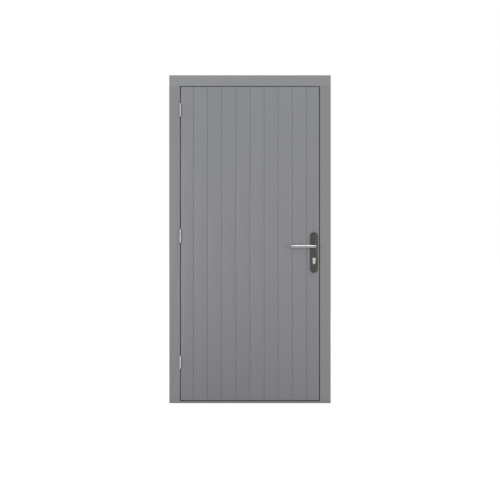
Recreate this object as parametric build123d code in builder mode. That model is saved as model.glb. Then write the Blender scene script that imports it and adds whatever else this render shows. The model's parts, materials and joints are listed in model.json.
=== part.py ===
"""Hardwood door set: a boarded leaf hung on three butt hinges in a rebated frame.

Millimetres, seen from outside: X to the right, Y into the building, Z up.
The origin is under the middle of the sill.
"""

import math
import os

from build123d import *

os.makedirs("parts", exist_ok=True)

# Frame
frame_width = 1090.0
frame_height = 2213.0
frame_depth = 67.0
jamb_face = 73.0
stop_lap = 16.0
sill_height = 13.5
sill_stop_rise = 12.0
frame_arris = 2.0
rebate_arris = 1.5
sill_corner = 3.0
pick_margin = 0.01

# Leaf
edge_gap = 5.0
threshold_gap = 6.5
back_gap = 5.0
leaf_thickness = 40.0
leaf_arris = 1.5
lock_edge_bevel = 2.0

# Tongued and grooved face boards
board_count = 10
edge_board_width = 85.8
board_thickness = 18.0
board_joint = 0.2
v_depth = 1.8
tongue_length = 6.0
tongue_thickness = 6.0
tongue_set_back = 7.0
tongue_clearance = 0.2

# Back frame of the leaf
stile_width = 95.0
top_rail_height = 120.0
lock_rail_height = 200.0
bottom_rail_height = 200.0
brace_width = 95.0

# Butt hinges
hinge_height = 89.0
hinge_from_top = 157.5
hinge_from_bottom = 258.0
flap_thickness = 2.5
flap_depth = 31.0
knuckle_radius = 6.3
knuckle_count = 5
knuckle_gap = 0.3
knuckle_stand_off = 1.0
knuckle_sweep = 0.4
pin_radius = 3.75
pin_clearance = 0.05

# Lock in the leaf's edge
spindle_height = 1057.0
lock_backset = 36.0
cylinder_drop = 85.5
forend_height = 235.0
forend_width = 22.0
forend_thickness = 3.0
case_height = 190.0
case_thickness = 15.0
case_depth = 60.0
case_clearance = 0.5
follower_radius = 6.0
spindle_bore = 11.0
latch_rise = 12.0
latch_height = 24.0
latch_width = 12.0
latch_length = 22.0
latch_slope = 10.0
dead_bolt_drop = 50.0
dead_bolt_height = 34.0
dead_bolt_width = 12.0
dead_bolt_length = 30.0
bolt_clearance = 0.2
bolt_set_in = 0.5

# Key cylinder
cylinder_radius = 11.3
cylinder_height = 43.5
cylinder_tail = 15.5
cylinder_proud = 2.0
cylinder_clearance = 0.15
plug_radius = 8.0
plug_length = 26.0
plug_proud = 0.4
plug_clearance = 0.1
keyway_width = 1.8
keyway_height = 10.0
keyway_depth = 22.0

# Strike plate in the lock jamb
strike_thickness = 2.0
strike_width = 22.0
strike_margin = 24.0
strike_corner = 4.0
keep_clearance = 1.5
latch_keep_depth = 18.0
dead_bolt_keep_depth = 26.0

# Plates and levers
outer_plate_width = 49.0
outer_plate_above = 96.0
outer_plate_below = 176.0
outer_plate_corner = 24.0
outer_plate_thickness = 10.0
outer_plate_bevel = 2.0
inner_plate_width = 34.0
inner_plate_above = 84.0
inner_plate_below = 164.0
inner_plate_corner = 16.5
inner_plate_thickness = 8.0
collar_radius = 13.0
collar_height = 3.0
lever_radius = 10.0
lever_length = 160.0
lever_stand_off = 56.0
lever_tip_chamfer = 1.0
neck_clearance = 0.1
neck_seat = 7.0
spindle_side = 8.0
spindle_clearance = 0.1
spindle_grip = 30.0
spindle_end_gap = 0.3

# Planes and edges that follow from the sizes above
front_y = -frame_depth / 2
back_y = frame_depth / 2
leaf_back_y = front_y + leaf_thickness
stop_y = leaf_back_y + back_gap
board_back_y = front_y + board_thickness
frame_half = frame_width / 2
rebate_half = frame_half - jamb_face
stop_half = rebate_half - stop_lap
head_z = frame_height - jamb_face
head_stop_z = head_z - stop_lap
leaf_half = rebate_half - edge_gap
leaf_bottom = sill_height + threshold_gap
leaf_top = head_z - edge_gap
leaf_height = leaf_top - leaf_bottom
board_cover = 2 * (leaf_half - edge_board_width) / (board_count - 2)

hinge_axis_x = -(rebate_half + leaf_half) / 2
hinge_axis_y = front_y - knuckle_stand_off - knuckle_radius
hinge_top_z = leaf_top - hinge_from_top
hinge_bottom_z = leaf_bottom + hinge_from_bottom
hinge_heights = {
    "hinge_top": hinge_top_z,
    "hinge_middle": (hinge_top_z + hinge_bottom_z) / 2,
    "hinge_bottom": hinge_bottom_z,
}

spindle_x = leaf_half - lock_backset
cylinder_z = spindle_height - cylinder_drop
lock_centre_z = (spindle_height + cylinder_z) / 2
lock_centre_y = front_y + leaf_thickness / 2
latch_z = spindle_height + latch_rise
dead_bolt_z = spindle_height - dead_bolt_drop


def rectangle_between(x_low, x_high, y_low, y_high):
    """Rectangle in the open sketch, given by its sides."""
    with Locations(((x_low + x_high) / 2, (y_low + y_high) / 2)):
        Rectangle(x_high - x_low, y_high - y_low)


def lock_edge_x(y):
    """X of the leaf's bevelled lock edge at the depth y."""
    return leaf_half - lock_edge_bevel * (y - front_y) / leaf_thickness


def edge_strip(width, near, far):
    """Outline in the lock edge: centred in the leaf, between two depths from the bevelled edge."""
    y_low = lock_centre_y - width / 2
    y_high = lock_centre_y + width / 2
    Polygon(
        (lock_edge_x(y_low) - near, y_low),
        (lock_edge_x(y_high) - near, y_high),
        (lock_edge_x(y_high) - far, y_high),
        (lock_edge_x(y_low) - far, y_low),
        align=None,
    )


def cylinder_section(extra=0.0):
    """The key cylinder's keyhole-shaped section in the open sketch, grown by extra."""
    tail_run = cylinder_height - cylinder_radius - cylinder_tail / 2
    with Locations((spindle_x, cylinder_z)):
        Circle(cylinder_radius + extra)
    with Locations((spindle_x, cylinder_z - tail_run / 2)):
        SlotCenterToCenter(tail_run, cylinder_tail + 2 * extra, rotation=90)


# Cut-outs that several pieces share: the flap recesses, the lock's mortise and the keeps
flap_back_y = front_y + flap_depth


def flap_recesses(x_low, x_high):
    """Recesses for the three hinge flaps in the timber between two depths."""
    with BuildPart() as recesses:
        for height in hinge_heights.values():
            with BuildSketch(Plane.XY.offset(height - hinge_height / 2)):
                rectangle_between(x_low, x_high, front_y, flap_back_y)
            extrude(amount=hinge_height)
    return recesses.part


jamb_recesses = flap_recesses(-rebate_half - flap_thickness, -rebate_half)
leaf_recesses = flap_recesses(-leaf_half, -leaf_half + flap_thickness)

with BuildPart() as lock_mortise:
    with BuildSketch(Plane.XY.offset(lock_centre_z - forend_height / 2)):
        edge_strip(forend_width, -lock_edge_bevel, forend_thickness)
    extrude(amount=forend_height)
    with BuildSketch(Plane.XY.offset(lock_centre_z - case_height / 2 - case_clearance)):
        edge_strip(case_thickness + 2 * case_clearance, 0, case_depth + case_clearance)
    extrude(amount=case_height + 2 * case_clearance)
    with BuildSketch(Plane.XZ.offset(-leaf_back_y)):
        with Locations((spindle_x, spindle_height)):
            Circle(spindle_bore)
        cylinder_section(cylinder_clearance)
    extrude(amount=leaf_thickness)

strike_bottom = dead_bolt_z - dead_bolt_height / 2 - strike_margin
strike_top = latch_z + latch_height / 2 + strike_margin
strike_low_y = lock_centre_y - strike_width / 2
strike_high_y = lock_centre_y + strike_width / 2


def latch_opening():
    """The latch's opening in the open sketch on the strike."""
    with Locations((lock_centre_y, latch_z)):
        Rectangle(latch_width + 2 * keep_clearance, latch_height + 2 * keep_clearance)


def dead_bolt_opening():
    """The dead bolt's opening in the open sketch on the strike."""
    with Locations((lock_centre_y, dead_bolt_z)):
        Rectangle(dead_bolt_width + 2 * keep_clearance, dead_bolt_height + 2 * keep_clearance)


with BuildPart() as strike_mortise:
    with BuildSketch(Plane.YZ.offset(rebate_half)):
        rectangle_between(strike_low_y, strike_high_y, strike_bottom, strike_top)
        fillet(vertices(), strike_corner)
    extrude(amount=strike_thickness)
    with BuildSketch(Plane.YZ.offset(rebate_half)):
        latch_opening()
    extrude(amount=latch_keep_depth)
    with BuildSketch(Plane.YZ.offset(rebate_half)):
        dead_bolt_opening()
    extrude(amount=dead_bolt_keep_depth)


# Frame: rebated jambs stand on the sill and carry the head on stepped shoulders
def jamb(side, cut):
    """One jamb, on the hinge side (-1) or the lock side (+1), with its hardware let in."""
    outer = side * frame_half
    rebate = side * rebate_half
    stop = side * stop_half
    with BuildPart() as member:
        with BuildSketch(Plane.XY.offset(sill_height)):
            with BuildLine():
                Polyline(
                    (outer, front_y),
                    (rebate, front_y),
                    (rebate, stop_y),
                    (stop, stop_y),
                    (stop, back_y),
                    (outer, back_y),
                    close=True,
                )
            make_face()
        extrude(amount=head_stop_z - sill_height)
        with BuildSketch(Plane.XY.offset(head_stop_z)):
            rectangle_between(min(outer, rebate), max(outer, rebate), front_y, stop_y)
        extrude(amount=head_z - head_stop_z)
        upright = member.edges().filter_by(Axis.Z)
        fillet(upright.group_by(Axis.Y)[0].sort_by(Axis.X, reverse=side > 0)[0], frame_arris)
        upright = member.edges().filter_by(Axis.Z)
        at_rebate = upright.filter_by_position(
            Axis.X, rebate - pick_margin, rebate + pick_margin
        )
        chamfer(at_rebate.sort_by(Axis.Y)[0], rebate_arris)
        add(cut, mode=Mode.SUBTRACT)
    return member


hinge_jamb = jamb(-1, jamb_recesses)
hinge_jamb.part.label = "hinge_jamb"
export_step(hinge_jamb.part, "parts/hinge_jamb.step")

lock_jamb = jamb(1, strike_mortise.part)
lock_jamb.part.label = "lock_jamb"
export_step(lock_jamb.part, "parts/lock_jamb.step")

with BuildPart() as frame_head:
    with BuildSketch(Plane.YZ):
        with BuildLine():
            Polyline(
                (front_y, head_z),
                (stop_y, head_z),
                (stop_y, head_stop_z),
                (back_y, head_stop_z),
                (back_y, frame_height),
                (front_y, frame_height),
                close=True,
            )
        make_face()
    extrude(amount=frame_half, both=True)
    front_edges = frame_head.faces().sort_by(Axis.Y)[0].edges()
    fillet(front_edges.filter_by(Axis.Z) + front_edges.sort_by(Axis.Z)[-1:], frame_arris)
    with BuildSketch(Plane.YZ):
        with BuildLine():
            Polyline(
                (front_y, head_z),
                (front_y + rebate_arris, head_z),
                (front_y, head_z + rebate_arris),
                close=True,
            )
        make_face()
    extrude(amount=rebate_half, both=True, mode=Mode.SUBTRACT)
frame_head.part.label = "frame_head"
export_step(frame_head.part, "parts/frame_head.step")

with BuildPart() as frame_sill:
    with BuildSketch():
        rectangle_between(-frame_half, frame_half, front_y, back_y)
    extrude(amount=sill_height)
    fillet(frame_sill.edges().filter_by(Axis.Z).group_by(Axis.Y)[0], sill_corner)
    with BuildSketch(Plane.XY.offset(sill_height)):
        rectangle_between(-stop_half, stop_half, stop_y, back_y)
    extrude(amount=sill_stop_rise)
frame_sill.part.label = "frame_sill"
export_step(frame_sill.part, "parts/frame_sill.step")

with BuildPart() as strike_plate:
    with BuildSketch(Plane.YZ.offset(rebate_half)):
        rectangle_between(strike_low_y, strike_high_y, strike_bottom, strike_top)
        fillet(vertices(), strike_corner)
    extrude(amount=strike_thickness)
    with BuildSketch(Plane.YZ.offset(rebate_half)):
        latch_opening()
        dead_bolt_opening()
    extrude(amount=strike_thickness, mode=Mode.SUBTRACT)
strike_plate.part.label = "strike_plate"
export_step(strike_plate.part, "parts/strike_plate.step")

# Butt hinges: five knuckles, three on the frame's flap and two on the leaf's
knuckle_pitch = hinge_height / knuckle_count


def hinge_flap(side, own, height):
    """A flap, on the frame (-1) or the leaf (+1), with the knuckles whose numbers are in own."""
    inner_x = hinge_axis_x + side * edge_gap / 2
    outer_x = inner_x + side * flap_thickness
    bottom = height - hinge_height / 2
    play = knuckle_gap if side > 0 else 0
    axis = (hinge_axis_x, hinge_axis_y)
    with BuildPart() as flap:
        with BuildSketch(Plane.XY.offset(bottom)):
            rectangle_between(
                min(inner_x, outer_x), max(inner_x, outer_x), hinge_axis_y, flap_back_y
            )
        extrude(amount=hinge_height)
        for number in range(knuckle_count):
            if number not in own:
                with BuildSketch(Plane.XY.offset(bottom + number * knuckle_pitch - play)):
                    with Locations(axis):
                        Circle(knuckle_radius + knuckle_sweep)
                extrude(amount=knuckle_pitch + 2 * play, mode=Mode.SUBTRACT)
        for number in own:
            with BuildSketch(Plane.XY.offset(bottom + number * knuckle_pitch + play)):
                with Locations(axis):
                    Circle(knuckle_radius)
            extrude(amount=knuckle_pitch - 2 * play)
        with BuildSketch(Plane.XY.offset(bottom)):
            with Locations(axis):
                Circle(pin_radius + pin_clearance)
        extrude(amount=hinge_height, mode=Mode.SUBTRACT)
    return flap


frame_knuckles = range(0, knuckle_count, 2)
leaf_knuckles = range(1, knuckle_count, 2)

for hinge, height in hinge_heights.items():
    frame_flap = hinge_flap(-1, frame_knuckles, height)
    frame_flap.part.label = f"{hinge}_frame_flap"
    export_step(frame_flap.part, f"parts/{hinge}_frame_flap.step")

    leaf_flap = hinge_flap(1, leaf_knuckles, height)
    leaf_flap.part.label = f"{hinge}_leaf_flap"
    export_step(leaf_flap.part, f"parts/{hinge}_leaf_flap.step")

    with BuildPart() as pin:
        with BuildSketch(Plane.XY.offset(height)):
            with Locations((hinge_axis_x, hinge_axis_y)):
                Circle(pin_radius)
        extrude(amount=hinge_height / 2, both=True)
    pin.part.label = f"{hinge}_pin"
    export_step(pin.part, f"parts/{hinge}_pin.step")

# Face boards: full boards about the middle, the two outer ones cut to the leaf's width
tongue_front = front_y + tongue_set_back
tongue_back = tongue_front + tongue_thickness


def board_outline(left, right, first, last):
    """Corners of a board's section: V arrises in front, a groove on its left, a tongue on its right."""
    left_arris = leaf_arris if first else v_depth
    right_arris = leaf_arris if last else v_depth
    points = [(left + left_arris, front_y)]
    if last:
        points.append((leaf_half - right_arris, front_y))
        points.append((lock_edge_x(front_y + right_arris), front_y + right_arris))
        points.append((lock_edge_x(board_back_y), board_back_y))
    else:
        points.append((right - right_arris, front_y))
        points.append((right, front_y + right_arris))
        points.append((right, tongue_front))
        points.append((right + tongue_length, tongue_front))
        points.append((right + tongue_length, tongue_back))
        points.append((right, tongue_back))
        points.append((right, board_back_y))
    points.append((left, board_back_y))
    if not first:
        groove_end = left + tongue_length
        points.append((left, tongue_back + tongue_clearance))
        points.append((groove_end, tongue_back + tongue_clearance))
        points.append((groove_end, tongue_front - tongue_clearance))
        points.append((left, tongue_front - tongue_clearance))
    points.append((left, front_y + left_arris))
    return points


for number in range(board_count):
    first = number == 0
    last = number == board_count - 1
    left = (number - board_count / 2) * board_cover + board_joint / 2
    right = (number + 1 - board_count / 2) * board_cover - board_joint / 2
    if first:
        left = -leaf_half
    with BuildPart() as face_board:
        with BuildSketch(Plane.XY.offset(leaf_bottom)):
            with BuildLine():
                Polyline(board_outline(left, right, first, last), close=True)
            make_face()
        extrude(amount=leaf_height)
        if first:
            add(leaf_recesses, mode=Mode.SUBTRACT)
        if number >= board_count - 2:
            add(lock_mortise.part, mode=Mode.SUBTRACT)
    face_board.part.label = f"face_board_{number + 1:02d}"
    export_step(face_board.part, f"parts/face_board_{number + 1:02d}.step")

# Back frame of the leaf: stiles, rails and the braces that rise from the hinges to the lock
stile_inner = leaf_half - stile_width

with BuildPart() as hinge_stile:
    with BuildSketch(Plane.XY.offset(leaf_bottom)):
        rectangle_between(-leaf_half, -stile_inner, board_back_y, leaf_back_y)
    extrude(amount=leaf_height)
    add(leaf_recesses, mode=Mode.SUBTRACT)
hinge_stile.part.label = "hinge_stile"
export_step(hinge_stile.part, "parts/hinge_stile.step")

with BuildPart() as lock_stile:
    with BuildSketch(Plane.XY.offset(leaf_bottom)):
        with BuildLine():
            Polyline(
                (stile_inner, board_back_y),
                (lock_edge_x(board_back_y), board_back_y),
                (lock_edge_x(leaf_back_y), leaf_back_y),
                (stile_inner, leaf_back_y),
                close=True,
            )
        make_face()
    extrude(amount=leaf_height)
    add(lock_mortise.part, mode=Mode.SUBTRACT)
lock_stile.part.label = "lock_stile"
export_step(lock_stile.part, "parts/lock_stile.step")

rail_spans = {
    "top_rail": (leaf_top - top_rail_height, leaf_top),
    "lock_rail": (lock_centre_z - lock_rail_height / 2, lock_centre_z + lock_rail_height / 2),
    "bottom_rail": (leaf_bottom, leaf_bottom + bottom_rail_height),
}

for name, (rail_low, rail_high) in rail_spans.items():
    with BuildPart() as rail:
        with BuildSketch(Plane.XZ.offset(-leaf_back_y)):
            rectangle_between(-stile_inner, stile_inner, rail_low, rail_high)
        extrude(amount=leaf_back_y - board_back_y)
    rail.part.label = name
    export_step(rail.part, f"parts/{name}.step")

brace_spans = {
    "upper_brace": (rail_spans["lock_rail"][1], rail_spans["top_rail"][0]),
    "lower_brace": (rail_spans["bottom_rail"][1], rail_spans["lock_rail"][0]),
}

for name, (brace_low, brace_high) in brace_spans.items():
    panel_width = 2 * stile_inner
    panel_height = brace_high - brace_low
    with BuildPart() as brace:
        with BuildSketch(Plane.XZ.offset(-leaf_back_y)):
            with Locations((0, (brace_low + brace_high) / 2)):
                Rectangle(
                    math.hypot(panel_width, panel_height) + 2 * brace_width,
                    brace_width,
                    rotation=math.degrees(math.atan2(panel_height, panel_width)),
                )
                Rectangle(panel_width, panel_height, mode=Mode.INTERSECT)
        extrude(amount=leaf_back_y - board_back_y)
    brace.part.label = name
    export_step(brace.part, f"parts/{name}.step")

# Mortise lock, its bolts drawn back
with BuildPart() as mortise_lock:
    with BuildSketch(Plane.XY.offset(lock_centre_z - forend_height / 2)):
        edge_strip(forend_width, 0, forend_thickness)
    extrude(amount=forend_height)
    with BuildSketch(Plane.XY.offset(lock_centre_z - case_height / 2)):
        edge_strip(case_thickness, forend_thickness, case_depth)
    extrude(amount=case_height)
    with BuildSketch(Plane.XY.offset(latch_z - latch_height / 2 - bolt_clearance)):
        edge_strip(latch_width + 2 * bolt_clearance, 0, latch_length)
    extrude(amount=latch_height + 2 * bolt_clearance, mode=Mode.SUBTRACT)
    with BuildSketch(Plane.XY.offset(dead_bolt_z - dead_bolt_height / 2 - bolt_clearance)):
        edge_strip(dead_bolt_width + 2 * bolt_clearance, 0, dead_bolt_length)
    extrude(amount=dead_bolt_height + 2 * bolt_clearance, mode=Mode.SUBTRACT)
    with BuildSketch(Plane.XZ.offset(-leaf_back_y)):
        with Locations((spindle_x, spindle_height)):
            Circle(follower_radius)
        cylinder_section(cylinder_clearance)
    extrude(amount=leaf_thickness, mode=Mode.SUBTRACT)
mortise_lock.part.label = "mortise_lock"
export_step(mortise_lock.part, "parts/mortise_lock.step")

with BuildPart() as latch_bolt:
    latch_low_y = lock_centre_y - latch_width / 2
    latch_high_y = lock_centre_y + latch_width / 2
    with BuildSketch(Plane.XY.offset(latch_z - latch_height / 2)):
        with BuildLine():
            Polyline(
                (lock_edge_x(latch_low_y) - latch_length, latch_low_y),
                (lock_edge_x(latch_low_y) - bolt_set_in, latch_low_y),
                (lock_edge_x(latch_high_y) - bolt_set_in - latch_slope, latch_high_y),
                (lock_edge_x(latch_high_y) - latch_length, latch_high_y),
                close=True,
            )
        make_face()
    extrude(amount=latch_height)
latch_bolt.part.label = "latch_bolt"
export_step(latch_bolt.part, "parts/latch_bolt.step")

with BuildPart() as dead_bolt:
    with BuildSketch(Plane.XY.offset(dead_bolt_z - dead_bolt_height / 2)):
        edge_strip(dead_bolt_width, bolt_set_in, dead_bolt_length)
    extrude(amount=dead_bolt_height)
dead_bolt.part.label = "dead_bolt"
export_step(dead_bolt.part, "parts/dead_bolt.step")


# Plates: outside the wide one, inside a narrow one that passes the lock jamb's stop
def handle_plate(face_y, way, width, above, below, corner, thickness, bevel=0):
    """A plate on a face of the leaf, growing outside (-1) or inside (+1), with the neck's collar."""
    face = Plane.XZ.offset(-face_y)
    outer_face = Plane.XZ.offset(-face_y - way * thickness)
    centre_z = spindle_height + (above - below) / 2
    with BuildPart() as plate:
        with BuildSketch(face):
            with Locations((spindle_x, centre_z)):
                RectangleRounded(width, above + below, corner)
        extrude(amount=-way * thickness)
        if bevel:
            rim = plate.faces().sort_by(Axis.Y, reverse=way > 0)[0].edges()
            chamfer(rim, bevel)
        with BuildSketch(outer_face):
            with Locations((spindle_x, spindle_height)):
                Circle(collar_radius)
        extrude(amount=-way * collar_height)
        with BuildSketch(face):
            with Locations((spindle_x, spindle_height)):
                Circle(lever_radius + neck_clearance)
            cylinder_section(cylinder_clearance)
        extrude(amount=-way * (thickness + collar_height), mode=Mode.SUBTRACT)
    return plate


outer_plate = handle_plate(
    front_y,
    -1,
    outer_plate_width,
    outer_plate_above,
    outer_plate_below,
    outer_plate_corner,
    outer_plate_thickness,
    outer_plate_bevel,
)
outer_plate.part.label = "outer_plate"
export_step(outer_plate.part, "parts/outer_plate.step")

inner_plate = handle_plate(
    leaf_back_y,
    1,
    inner_plate_width,
    inner_plate_above,
    inner_plate_below,
    inner_plate_corner,
    inner_plate_thickness,
)
inner_plate.part.label = "inner_plate"
export_step(inner_plate.part, "parts/inner_plate.step")

# Key cylinder through both plates and the lock
cylinder_front_y = front_y - outer_plate_thickness - cylinder_proud
cylinder_back_y = leaf_back_y + inner_plate_thickness + cylinder_proud
plug_ends = {-1: cylinder_front_y, 1: cylinder_back_y}

with BuildPart() as cylinder_body:
    with BuildSketch(Plane.XZ.offset(-cylinder_back_y)):
        cylinder_section()
    extrude(amount=cylinder_back_y - cylinder_front_y)
    for way, end_y in plug_ends.items():
        with BuildSketch(Plane.XZ.offset(-end_y)):
            with Locations((spindle_x, cylinder_z)):
                Circle(plug_radius + plug_clearance)
        extrude(amount=way * plug_length, mode=Mode.SUBTRACT)
cylinder_body.part.label = "cylinder_body"
export_step(cylinder_body.part, "parts/cylinder_body.step")

with BuildPart() as cylinder_plugs:
    for way, end_y in plug_ends.items():
        with BuildSketch(Plane.XZ.offset(-end_y - way * plug_proud)):
            with Locations((spindle_x, cylinder_z)):
                Circle(plug_radius)
        extrude(amount=way * (plug_length + plug_proud))
        with BuildSketch(Plane.XZ.offset(-end_y - way * plug_proud)):
            with Locations((spindle_x, cylinder_z)):
                Rectangle(keyway_width, keyway_height)
        extrude(amount=way * keyway_depth, mode=Mode.SUBTRACT)
cylinder_plugs.part.label = "cylinder_plugs"
export_step(cylinder_plugs.part, "parts/cylinder_plugs.step")


# Levers on a square spindle
def lever_handle(seat_y, face_y, way):
    """A mitred round-bar lever: its neck stands in the plate and its bar points to the hinges."""
    bar_y = face_y + way * lever_stand_off
    with BuildPart() as handle:
        with BuildLine(Plane.XY.offset(spindle_height)) as centre_line:
            Polyline((spindle_x, seat_y), (spindle_x, bar_y), (spindle_x - lever_length, bar_y))
        with BuildSketch(Plane(centre_line.line @ 0, z_dir=centre_line.line % 0)):
            Circle(lever_radius)
        sweep(transition=Transition.RIGHT)
        chamfer(handle.faces().sort_by(Axis.X)[0].edges(), lever_tip_chamfer)
        with BuildSketch(Plane.XZ.offset(-seat_y)):
            with Locations((spindle_x, spindle_height)):
                Rectangle(spindle_side + 2 * spindle_clearance, spindle_side + 2 * spindle_clearance)
        extrude(amount=-way * spindle_grip, mode=Mode.SUBTRACT)
    return handle


outer_seat_y = front_y - outer_plate_thickness - collar_height + neck_seat
inner_seat_y = leaf_back_y + inner_plate_thickness + collar_height - neck_seat

outer_lever = lever_handle(outer_seat_y, front_y, -1)
outer_lever.part.label = "outer_lever"
export_step(outer_lever.part, "parts/outer_lever.step")

inner_lever = lever_handle(inner_seat_y, leaf_back_y, 1)
inner_lever.part.label = "inner_lever"
export_step(inner_lever.part, "parts/inner_lever.step")

spindle_front_y = outer_seat_y - spindle_grip + spindle_end_gap
spindle_back_y = inner_seat_y + spindle_grip - spindle_end_gap

with BuildPart() as spindle:
    with BuildSketch(Plane.XZ.offset(-spindle_back_y)):
        with Locations((spindle_x, spindle_height)):
            Rectangle(spindle_side, spindle_side)
    extrude(amount=spindle_back_y - spindle_front_y)
spindle.part.label = "spindle"
export_step(spindle.part, "parts/spindle.step")
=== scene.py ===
"""Finish, screws, light and camera for the hardwood door set.

Metres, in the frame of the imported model: X to the right seen from outside, Y into the
building, Z up, with the origin under the middle of the sill.
"""

import json
import math

import bmesh
import bpy
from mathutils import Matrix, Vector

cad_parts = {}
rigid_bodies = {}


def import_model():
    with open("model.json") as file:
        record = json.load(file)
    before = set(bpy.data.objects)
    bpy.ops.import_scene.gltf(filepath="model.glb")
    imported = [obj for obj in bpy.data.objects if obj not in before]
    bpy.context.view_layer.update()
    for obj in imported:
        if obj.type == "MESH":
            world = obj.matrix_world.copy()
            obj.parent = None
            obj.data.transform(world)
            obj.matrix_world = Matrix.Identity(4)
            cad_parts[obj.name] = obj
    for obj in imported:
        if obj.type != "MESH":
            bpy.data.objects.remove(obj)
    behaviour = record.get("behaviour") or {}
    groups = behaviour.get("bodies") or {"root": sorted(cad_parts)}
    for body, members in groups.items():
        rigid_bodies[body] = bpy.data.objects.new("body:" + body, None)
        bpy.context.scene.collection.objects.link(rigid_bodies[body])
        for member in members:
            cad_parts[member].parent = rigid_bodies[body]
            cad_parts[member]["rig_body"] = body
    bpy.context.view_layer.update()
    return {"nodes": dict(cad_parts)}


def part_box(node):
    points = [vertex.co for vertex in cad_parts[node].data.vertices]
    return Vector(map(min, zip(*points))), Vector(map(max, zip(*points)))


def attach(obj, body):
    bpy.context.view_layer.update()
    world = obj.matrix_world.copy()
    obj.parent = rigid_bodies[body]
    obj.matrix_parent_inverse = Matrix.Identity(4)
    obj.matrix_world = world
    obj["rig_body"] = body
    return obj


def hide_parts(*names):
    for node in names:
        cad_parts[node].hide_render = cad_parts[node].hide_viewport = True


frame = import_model()

MM = 0.001

# Sizes that the finish shares with the door, in millimetres
REBATE_X = 472.0
LEAF_EDGE_X = 467.0
FRONT_Y = -33.5
LEAF_BACK_Y = 6.5
FLAP_DEPTH = 31.0
HINGE_HEIGHT = 89.0
BOARD_COVER = 95.3
DOOR_HEIGHT = 2213.0
LOCK_CENTRE_Y = -13.5
SPINDLE_X = 431.0
CYLINDER_Z = 971.5
LEAF_EDGE_BEVEL = 2.0
LEAF_THICKNESS = 40.0
INNER_PLATE_THICKNESS = 8.0
LEVER_STAND_OFF = 56.0

# Screws: how many rows on a flap, and lengths in millimetres
FLAP_SCREW_ROWS = 4
FLAP_SCREW_STAGGER = 9.0
PLATE_SCREW_INSET = 9.0
INNER_PLATE_SCREW_INSET = 14.0

# Metal: the size of the handling marks and the height of the brushing, in millimetres
CLOUD_SIZE = 40.0
BRUSHING_RELIEF = 0.012

# Light: how bright the floor is where it is seen, and the world's light on the door
FLOOR_GLOW = 0.75
FILL = 0.585


def linear(code):
    """An sRGB hex colour as linear red, green, blue and alpha."""
    channels = []
    for start in (1, 3, 5):
        value = int(code[start : start + 2], 16) / 255
        channels.append(value / 12.92 if value <= 0.04045 else ((value + 0.055) / 1.055) ** 2.4)
    return (*channels, 1.0)


def add_node(tree, kind, inputs=None, **settings):
    """Adds a node to a tree, with its settings, and inputs that are values or other outputs."""
    node = tree.nodes.new(kind)
    for name, value in settings.items():
        setattr(node, name, value)
    for key, value in (inputs or {}).items():
        if isinstance(value, bpy.types.NodeSocket):
            tree.links.new(value, node.inputs[key])
        else:
            node.inputs[key].default_value = value
    return node


def new_material(name):
    """An empty material with its node tree."""
    material = bpy.data.materials.new(name)
    material.use_nodes = True
    material.node_tree.nodes.clear()
    return material, material.node_tree


def stretched_noise(tree, coordinates, size, detail=2.0, rough=0.5):
    """Noise whose spots have the given size in millimetres along the three axes."""
    per_spot = [1 / (length * MM) for length in size]
    scaled = add_node(
        tree, "ShaderNodeVectorMath", {0: coordinates, 1: per_spot}, operation="MULTIPLY"
    )
    noise = add_node(
        tree,
        "ShaderNodeTexNoise",
        {"Vector": scaled.outputs[0], "Scale": 1.0, "Detail": detail, "Roughness": rough},
    )
    return noise.outputs[0]


def swing(tree, value, amount, base):
    """base plus amount times how far value is from a half."""
    away = add_node(tree, "ShaderNodeMath", {0: value, 1: 0.5}, operation="SUBTRACT")
    made = add_node(
        tree,
        "ShaderNodeMath",
        {0: away.outputs[0], 1: amount, 2: base},
        operation="MULTIPLY_ADD",
    )
    return made.outputs[0]


# Painted hardwood: sprayed satin paint with the grain and pores faint through the film


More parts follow.
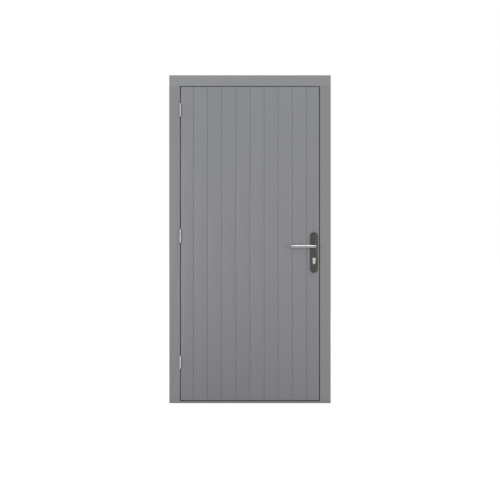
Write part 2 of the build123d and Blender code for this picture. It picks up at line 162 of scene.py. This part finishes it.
def painted_hardwood(name, grain_angle, painted_shade_foot_colour, painted_light_head_colour, boards=False):
    """Satin grey paint on planed hardwood whose grain runs at an angle to the level, in degrees."""
    material, tree = new_material(name)
    place = add_node(tree, "ShaderNodeTexCoord")
    turn = math.radians(grain_angle - 90)
    along_grain = add_node(
        tree,
        "ShaderNodeMapping",
        {"Vector": place.outputs["Object"], "Rotation": (0.0, turn, 0.0)},
    ).outputs[0]
    # Streaks and clouds are drawn coarse enough to show at the size of a whole door
    streaks = stretched_noise(tree, along_grain, (14, 14, 520), 3.0, 0.55)
    clouds = stretched_noise(tree, along_grain, (300, 300, 420), 2.0)
    grain = stretched_noise(tree, along_grain, (1.8, 1.8, 90), 4.0, 0.6)
    pores = stretched_noise(tree, along_grain, (0.8, 0.8, 9), 1.0)
    film = stretched_noise(tree, along_grain, (2.2, 2.2, 2.2), 1.0)

    tone = swing(tree, streaks, 0.05, 1.0)
    tone = swing(tree, clouds, 0.05, tone)
    split = add_node(tree, "ShaderNodeSeparateXYZ", {0: place.outputs["Object"]})
    if boards:
        number = add_node(
            tree,
            "ShaderNodeMath",
            {0: split.outputs["X"], 1: BOARD_COVER * MM},
            operation="DIVIDE",
        )
        number = add_node(tree, "ShaderNodeMath", {0: number.outputs[0]}, operation="FLOOR")
        own = add_node(
            tree, "ShaderNodeTexWhiteNoise", {"W": number.outputs[0]}, noise_dimensions="1D"
        )
        tone = swing(tree, own.outputs["Value"], 0.022, tone)

    # Painted shade and painted light: the colour runs from a darker foot to a lighter head, as if
    # lit from above
    height = add_node(
        tree,
        "ShaderNodeMapRange",
        {"Value": split.outputs["Z"], "From Min": 0.0, "From Max": DOOR_HEIGHT * MM},
    )
    colour = add_node(tree, "ShaderNodeMix", {"Factor": height.outputs[0]}, data_type="RGBA")
    colour_socket = next(s for s in colour.outputs if s.type == "RGBA")
    for key, value in (("A", painted_shade_foot_colour), ("B", painted_light_head_colour)):
        next(s for s in colour.inputs if s.type == "RGBA" and s.name == key).default_value = value
    toned = add_node(
        tree, "ShaderNodeVectorMath", {0: colour_socket, "Scale": tone}, operation="SCALE"
    )

    pore_marks = add_node(
        tree,
        "ShaderNodeMapRange",
        {"Value": pores, "From Min": 0.6, "From Max": 0.72},
    )
    relief = swing(tree, grain, 0.09 * MM, 0.0)
    relief = swing(tree, film, 0.02 * MM, relief)
    relief = add_node(
        tree,
        "ShaderNodeMath",
        {0: pore_marks.outputs[0], 1: -0.035 * MM, 2: relief},
        operation="MULTIPLY_ADD",
    )
    bump = add_node(
        tree,
        "ShaderNodeBump",
        {"Height": relief.outputs[0], "Distance": 1.0, "Strength": 0.8},
    )
    roughness = swing(tree, film, 0.1, 0.44)
    shader = add_node(
        tree,
        "ShaderNodeBsdfPrincipled",
        {
            "Base Color": toned.outputs[0],
            "Roughness": roughness,
            "Normal": bump.outputs[0],
            "IOR": 1.48,
        },
    )
    add_node(tree, "ShaderNodeOutputMaterial", {"Surface": shader.outputs[0]})
    return material


# Metals: brushing lines one way, cloudy handling marks, slightly uneven gloss


def brushed_metal(name, colour, roughness, line_size, line_tone=0.1):
    """Metal with brushing lines of the given size in millimetres along the three axes."""
    material, tree = new_material(name)
    place = add_node(tree, "ShaderNodeTexCoord").outputs["Object"]
    lines = stretched_noise(tree, place, line_size, 3.0, 0.6)
    clouds = stretched_noise(tree, place, (CLOUD_SIZE, CLOUD_SIZE, CLOUD_SIZE), 2.0)
    tone = swing(tree, lines, line_tone, 1.0)
    tone = swing(tree, clouds, line_tone, tone)
    toned = add_node(
        tree, "ShaderNodeVectorMath", {0: colour[:3], "Scale": tone}, operation="SCALE"
    )
    gloss = swing(tree, lines, 0.12, roughness)
    gloss = swing(tree, clouds, 0.08, gloss)
    relief = swing(tree, lines, BRUSHING_RELIEF * MM, 0.0)
    bump = add_node(tree, "ShaderNodeBump", {"Height": relief, "Distance": 1.0, "Strength": 0.6})
    shader = add_node(
        tree,
        "ShaderNodeBsdfPrincipled",
        {
            "Base Color": toned.outputs[0],
            "Metallic": 1.0,
            "Roughness": gloss,
            "Normal": bump.outputs[0],
        },
    )
    add_node(tree, "ShaderNodeOutputMaterial", {"Surface": shader.outputs[0]})
    return material


# One satin paint, a little different on boards, upright timber, level timber and braces; each is
# darker at the foot of the door and lighter at its head, which is painted shade and painted light
board_paint = painted_hardwood(
    "satin_paint_on_boards", 90, linear("#8B8A90"), linear("#929498"), boards=True
)
upright_paint = painted_hardwood(
    "satin_paint_on_upright_timber", 90, linear("#909093"), linear("#919294")
)
level_paint = painted_hardwood(
    "satin_paint_on_level_timber", 0, linear("#89898D"), linear("#989A9D")
)
upper_brace_paint = painted_hardwood(
    "satin_paint_on_upper_brace", 50.5, linear("#8B8A90"), linear("#8B8D91")
)
lower_brace_paint = painted_hardwood(
    "satin_paint_on_lower_brace", 42.9, linear("#8B8A90"), linear("#8B8D91")
)
# Satin stainless steel: rolled flaps and knuckles, with upright lines from the rolling
hinge_steel = brushed_metal("satin_steel_of_hinges", linear("#A8A8A7"), 0.3, (1.2, 1.2, 30))
# Dark bronzed brass: near-black brown, brushed upright, lacquered
plate_bronze = brushed_metal("dark_bronzed_plate", linear("#494744"), 0.38, (1.5, 1.5, 60), 0.14)
# Satin stainless steel bar: lines along the bar, with a bright streak where the light stands. Its
# grey is darker than bare stainless steel, a painted reflection of a dark room
lever_steel = brushed_metal("satin_stainless_lever", linear("#9A9A9A"), 0.17, (60, 1.2, 1.2), 0.06)
# Zinc-plated steel: cool and a little cloudy
lock_steel = brushed_metal("zinc_plated_lock", linear("#A6A8A9"), 0.34, (1.5, 1.5, 40), 0.08)
# Satin nickel on brass: warm and bright
cylinder_nickel = brushed_metal("satin_nickel_cylinder", linear("#B4B1AC"), 0.26, (6, 6, 1), 0.05)
# Zinc-plated screws: brighter than the flap round them
screw_steel = brushed_metal("zinc_plated_screws", linear("#B9BABA"), 0.28, (2, 2, 2), 0.06)


# Pieces: each CAD node gets its finish and eased arrises


def finished(node, material, arris, segments=2, smooth_angle=35, cuts=()):
    """Replaces a CAD node by a merged copy whose arrises are eased, in millimetres.

    The cuts are rings across a bar, as an axis and a place on it: they keep the bar's shading
    straight beside a mitre or an end.
    """
    body = frame["nodes"][node]["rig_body"]
    mesh = frame["nodes"][node].data.copy()
    mesh.materials.clear()
    shape = bmesh.new()
    shape.from_mesh(mesh)
    bmesh.ops.remove_doubles(shape, verts=shape.verts, dist=1e-6)
    bmesh.ops.dissolve_limit(
        shape,
        angle_limit=math.radians(0.5),
        verts=shape.verts,
        edges=shape.edges,
    )
    for axis, place in cuts:
        bmesh.ops.bisect_plane(
            shape,
            geom=shape.verts[:] + shape.edges[:] + shape.faces[:],
            plane_co=[place * MM * part for part in axis],
            plane_no=axis,
        )
    shape.to_mesh(mesh)
    shape.free()
    piece = bpy.data.objects.new(f"{node}_finished", mesh)
    bpy.context.scene.collection.objects.link(piece)
    bevel = piece.modifiers.new("eased_arrises", "BEVEL")
    bevel.width = arris * MM
    bevel.segments = segments
    bevel.limit_method = "ANGLE"
    bevel.angle_limit = math.radians(smooth_angle)
    depsgraph = bpy.context.evaluated_depsgraph_get()
    made = bpy.data.meshes.new_from_object(piece.evaluated_get(depsgraph), depsgraph=depsgraph)
    piece.modifiers.clear()
    piece.data = made
    made.materials.clear()
    made.materials.append(material)
    made.shade_smooth()
    made.set_sharp_from_angle(angle=math.radians(smooth_angle))
    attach(piece, body)
    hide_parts(node)
    return piece


for number in range(1, 11):
    finished(f"face_board_{number:02d}", board_paint, 0.5)
for node in ("hinge_jamb", "lock_jamb", "hinge_stile", "lock_stile"):
    finished(node, upright_paint, 0.8)
for node in ("frame_head", "frame_sill", "top_rail", "lock_rail", "bottom_rail"):
    finished(node, level_paint, 0.8)
finished("upper_brace", upper_brace_paint, 0.8)
finished("lower_brace", lower_brace_paint, 0.8)

for hinge in ("hinge_top", "hinge_middle", "hinge_bottom"):
    for part in ("frame_flap", "leaf_flap", "pin"):
        finished(f"{hinge}_{part}", hinge_steel, 0.25)

for node in ("strike_plate", "mortise_lock", "latch_bolt", "dead_bolt"):
    finished(node, lock_steel, 0.2)
for node in ("outer_plate", "inner_plate"):
    finished(node, plate_bronze, 0.4)
for node in ("cylinder_body", "cylinder_plugs"):
    finished(node, cylinder_nickel, 0.2)
finished("spindle", lever_steel, 0.3)
# Rings just inside the bar's tip and along it, and one to each side of the mitre
BAR_RING_OFFSETS = (-156.0, -120.0, -60.0)
MITRE_RING_OFFSET = 1.0
HALF_ROOT = math.sqrt(0.5)
bar_rings = [((1, 0, 0), SPINDLE_X + offset) for offset in BAR_RING_OFFSETS]
for node, bar_y, neck_way in (
    ("outer_lever", FRONT_Y - LEVER_STAND_OFF, 1),
    ("inner_lever", LEAF_BACK_Y + LEVER_STAND_OFF, -1),
):
    mitre = (HALF_ROOT, neck_way * HALF_ROOT, 0)
    corner = HALF_ROOT * (SPINDLE_X + neck_way * bar_y)
    mitre_rings = [(mitre, corner - MITRE_RING_OFFSET), (mitre, corner + MITRE_RING_OFFSET)]
    finished(node, lever_steel, 0.3, cuts=bar_rings + mitre_rings)


# Screws: raised heads with a cross recess, each turned its own way


def cross_screw_tree():
    """The tree that puts a raised screw head with a cross recess on each point."""
    tree = bpy.data.node_groups.new("cross_recess_screws", "GeometryNodeTree")
    tree.interface.new_socket("Points", in_out="INPUT", socket_type="NodeSocketGeometry")
    sizes = {
        "Head radius": 4.1 * MM,
        "Head rise": 0.9 * MM,
        "Recess length": 4.4 * MM,
        "Recess width": 1.1 * MM,
        "Recess depth": 0.75 * MM,
    }
    for name, value in sizes.items():
        socket = tree.interface.new_socket(name, in_out="INPUT", socket_type="NodeSocketFloat")
        socket.default_value = value
    tree.interface.new_socket("Seed", in_out="INPUT", socket_type="NodeSocketInt")
    tree.interface.new_socket("Metal", in_out="INPUT", socket_type="NodeSocketMaterial")
    tree.interface.new_socket("Screws", in_out="OUTPUT", socket_type="NodeSocketGeometry")
    given = add_node(tree, "NodeGroupInput").outputs
    ball = add_node(
        tree, "GeometryNodeMeshUVSphere", {"Segments": 24, "Rings": 12, "Radius": 1.0}
    )
    head_size = add_node(
        tree,
        "ShaderNodeCombineXYZ",
        {0: given["Head radius"], 1: given["Head radius"], 2: given["Head rise"]},
    )
    head = add_node(
        tree,
        "GeometryNodeTransform",
        {"Geometry": ball.outputs[0], "Scale": head_size.outputs[0]},
    )
    twice_deep = add_node(
        tree, "ShaderNodeMath", {0: given["Recess depth"], 1: 2.0}, operation="MULTIPLY"
    )
    at_top = add_node(tree, "ShaderNodeCombineXYZ", {2: given["Head rise"]})
    cutters = []
    for pair in (("Recess length", "Recess width"), ("Recess width", "Recess length")):
        size = add_node(
            tree,
            "ShaderNodeCombineXYZ",
            {0: given[pair[0]], 1: given[pair[1]], 2: twice_deep.outputs[0]},
        )
        block = add_node(tree, "GeometryNodeMeshCube", {"Size": size.outputs[0]})
        moved = add_node(
            tree,
            "GeometryNodeTransform",
            {"Geometry": block.outputs[0], "Translation": at_top.outputs[0]},
        )
        cutters.append(moved.outputs[0])
    shape = head.outputs[0]
    for cutter in cutters:
        cut = add_node(
            tree, "GeometryNodeMeshBoolean", {0: shape, 1: cutter}, operation="DIFFERENCE"
        )
        cut.solver = "EXACT"
        shape = cut.outputs[0]
    facing = add_node(
        tree, "GeometryNodeInputNamedAttribute", {"Name": "facing"}, data_type="FLOAT_VECTOR"
    )
    aimed = add_node(
        tree,
        "FunctionNodeAlignRotationToVector",
        {"Vector": facing.outputs[0]},
        axis="Z",
    )
    angle = add_node(
        tree,
        "FunctionNodeRandomValue",
        {"Seed": given["Seed"]},
        data_type="FLOAT",
    )
    full_turn = add_node(
        tree, "ShaderNodeMath", {0: angle.outputs[1], 1: 2 * math.pi}, operation="MULTIPLY"
    )
    own_turn = add_node(
        tree,
        "FunctionNodeAxisAngleToRotation",
        {"Axis": (0.0, 0.0, 1.0), "Angle": full_turn.outputs[0]},
    )
    turned = add_node(
        tree,
        "FunctionNodeRotateRotation",
        {0: aimed.outputs[0], 1: own_turn.outputs[0]},
        rotation_space="LOCAL",
    )
    placed = add_node(
        tree,
        "GeometryNodeInstanceOnPoints",
        {"Points": given["Points"], "Instance": shape, "Rotation": turned.outputs[0]},
    )
    real = add_node(tree, "GeometryNodeRealizeInstances", {0: placed.outputs[0]})
    coated = add_node(
        tree, "GeometryNodeSetMaterial", {"Geometry": real.outputs[0], "Material": given["Metal"]}
    )
    add_node(tree, "NodeGroupOutput", {"Screws": coated.outputs[0]})
    return tree


screw_heads = cross_screw_tree()


def screws(name, body, slot, places, seed, **sizes):
    """One mesh of screws on a body: places are points and the ways they face, in millimetres."""
    mesh = bpy.data.meshes.new(name)
    mesh.from_pydata([[c * MM for c in point] for point, _ in places], [], [])
    facing = mesh.attributes.new("facing", "FLOAT_VECTOR", "POINT")
    facing.data.foreach_set("vector", [c for _, way in places for c in way])
    piece = bpy.data.objects.new(name, mesh)
    bpy.context.scene.collection.objects.link(piece)
    maker = piece.modifiers.new("screws", "NODES")
    maker.node_group = screw_heads
    values = {"Seed": seed, "Metal": screw_steel}
    values.update({key.replace("_", " ").capitalize(): size * MM for key, size in sizes.items()})
    for socket in screw_heads.interface.items_tree:
        if socket.in_out == "INPUT" and socket.name in values:
            maker[socket.identifier] = values[socket.name]
    depsgraph = bpy.context.evaluated_depsgraph_get()
    made = bpy.data.meshes.new_from_object(piece.evaluated_get(depsgraph), depsgraph=depsgraph)
    piece.modifiers.clear()
    piece.data = made
    made.shade_smooth()
    made.set_sharp_from_angle(angle=math.radians(30))
    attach(piece, body)
    return piece


def flap_screw_places(x, way):
    """Screws of the three flaps whose face is at x and looks to +X (1) or -X (-1)."""
    places = []
    for hinge in ("hinge_top", "hinge_middle", "hinge_bottom"):
        low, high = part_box(f"{hinge}_leaf_flap")
        bottom = (low.z + high.z) / 2 / MM - HINGE_HEIGHT / 2
        for row in range(FLAP_SCREW_ROWS):
            side = 1 if row % 2 else -1
            y = FRONT_Y + FLAP_DEPTH / 2 + side * FLAP_SCREW_STAGGER / 2
            z = bottom + HINGE_HEIGHT * (row + 0.5) / FLAP_SCREW_ROWS
            places.append(((x, y, z), (way, 0, 0)))
    return places


screws("flap_screws_in_frame", "frame", "hinge_steel", flap_screw_places(-REBATE_X, 1), 3)
screws("flap_screws_in_leaf", "leaf", "hinge_steel", flap_screw_places(-LEAF_EDGE_X, -1), 5)

strike_low, strike_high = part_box("strike_plate")
screws(
    "strike_plate_screws",
    "frame",
    "lock_steel",
    [
        ((REBATE_X, LOCK_CENTRE_Y, strike_low.z / MM + PLATE_SCREW_INSET), (-1, 0, 0)),
        ((REBATE_X, LOCK_CENTRE_Y, strike_high.z / MM - PLATE_SCREW_INSET), (-1, 0, 0)),
    ],
    7,
)

lock_low, lock_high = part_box("mortise_lock")
forend_x = LEAF_EDGE_X - LEAF_EDGE_BEVEL / 2
edge_way = (1, LEAF_EDGE_BEVEL / LEAF_THICKNESS, 0)
screws(
    "forend_screws",
    "leaf",
    "lock_steel",
    [
        ((forend_x, LOCK_CENTRE_Y, lock_low.z / MM + PLATE_SCREW_INSET), edge_way),
        ((forend_x, LOCK_CENTRE_Y, lock_high.z / MM - PLATE_SCREW_INSET), edge_way),
        ((forend_x, LOCK_CENTRE_Y, CYLINDER_Z), edge_way),
    ],
    9,
    head_radius=3.6,
)

inner_low, inner_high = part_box("inner_plate")
plate_face_y = LEAF_BACK_Y + INNER_PLATE_THICKNESS
screws(
    "inner_plate_screws",
    "leaf",
    "plate_metal",
    [
        ((SPINDLE_X, plate_face_y, inner_low.z / MM + INNER_PLATE_SCREW_INSET), (0, 1, 0)),
        ((SPINDLE_X, plate_face_y, inner_high.z / MM - INNER_PLATE_SCREW_INSET), (0, 1, 0)),
    ],
    11,
    head_radius=3.8,
)


# Floor, world and light: a plain white studio


def seen_or_mirrored(tree):
    """1 for rays from the camera, a mirror or a clear piece, and 0 for the light on the door."""
    rays = add_node(tree, "ShaderNodeLightPath").outputs
    seen = rays["Is Camera Ray"]
    for kind in ("Is Glossy Ray", "Is Transmission Ray"):
        either = add_node(tree, "ShaderNodeMath", {0: seen, 1: rays[kind]}, operation="MAXIMUM")
        seen = either.outputs[0]
    return seen


floor_mesh = bpy.data.meshes.new("studio_floor")
floor_reach = 40.0
floor_mesh.from_pydata(
    [
        (-floor_reach, -floor_reach, 0),
        (floor_reach, -floor_reach, 0),
        (floor_reach, floor_reach, 0),
        (-floor_reach, floor_reach, 0),
    ],
    [],
    [(0, 1, 2, 3)],
)
floor = bpy.data.objects.new("studio_floor", floor_mesh)
bpy.context.scene.collection.objects.link(floor)

# Matt white floor, which keeps the door's soft shadow and meets the background without a line
floor_paint, tree = new_material("matt_white_floor")
glow = add_node(
    tree, "ShaderNodeMath", {0: seen_or_mirrored(tree), 1: FLOOR_GLOW}, operation="MULTIPLY"
)
matt = add_node(tree, "ShaderNodeBsdfDiffuse", {"Color": linear("#C2C2C2")})
lift = add_node(
    tree, "ShaderNodeEmission", {"Color": (1.0, 1.0, 1.0, 1.0), "Strength": glow.outputs[0]}
)
both = add_node(tree, "ShaderNodeAddShader", {0: matt.outputs[0], 1: lift.outputs[0]})
add_node(tree, "ShaderNodeOutputMaterial", {"Surface": both.outputs[0]})
floor_mesh.materials.append(floor_paint)

# The world is white where it is seen or mirrored, and dimmer as light on the door
world = bpy.data.worlds.new("white_studio")
world.use_nodes = True
bpy.context.scene.world = world
tree = world.node_tree
tree.nodes.clear()
strength = add_node(
    tree,
    "ShaderNodeMath",
    {0: seen_or_mirrored(tree), 1: 1 - FILL, 2: FILL},
    operation="MULTIPLY_ADD",
)
sky = add_node(
    tree,
    "ShaderNodeBackground",
    {"Color": (1.0, 1.0, 1.0, 1.0), "Strength": strength.outputs[0]},
)
add_node(tree, "ShaderNodeOutputWorld", {"Surface": sky.outputs[0]})


def soft_light(name, place, target, width, height, power):
    """A soft rectangular light at a place, in metres, turned to a target."""
    lamp = bpy.data.lights.new(name, "AREA")
    lamp.shape = "RECTANGLE"
    lamp.size = width
    lamp.size_y = height
    lamp.energy = power
    holder = bpy.data.objects.new(name, lamp)
    bpy.context.scene.collection.objects.link(holder)
    holder.location = place
    way = Vector(target) - Vector(place)
    holder.rotation_euler = way.to_track_quat("-Z", "Y").to_euler()
    holder.visible_camera = False
    return holder


# The front pair stands near the lever's height, so that the lever hides most of its shadow
soft_light("key_light", (-3.4, -5.6, 1.2), (0.0, 0.0, 1.1), 3.0, 2.2, 88)
soft_light("fill_light", (3.4, -5.6, 1.2), (0.0, 0.0, 1.1), 3.0, 2.2, 42)
soft_light("back_light", (3.4, 5.6, 2.6), (0.0, 0.0, 1.1), 3.0, 2.2, 160)
# A high narrow light draws the bright line along the lever's upper side
soft_light("lever_light", (1.1, -0.42, 12.0), (0.35, -0.09, 1.06), 3.2, 0.8, 160)

# Camera: level, straight in front, a little under the middle of the door
lens = bpy.data.cameras.new("front_camera")
lens.sensor_width = 36.0
lens.lens = 53.37
camera = bpy.data.objects.new("front_camera", lens)
bpy.context.scene.collection.objects.link(camera)
camera.location = (0.0, -5.0335, 1.0338)
camera.rotation_euler = (math.radians(90), 0.0, 0.0)
bpy.context.scene.camera = camera
bpy.context.scene.view_settings.view_transform = "Standard"
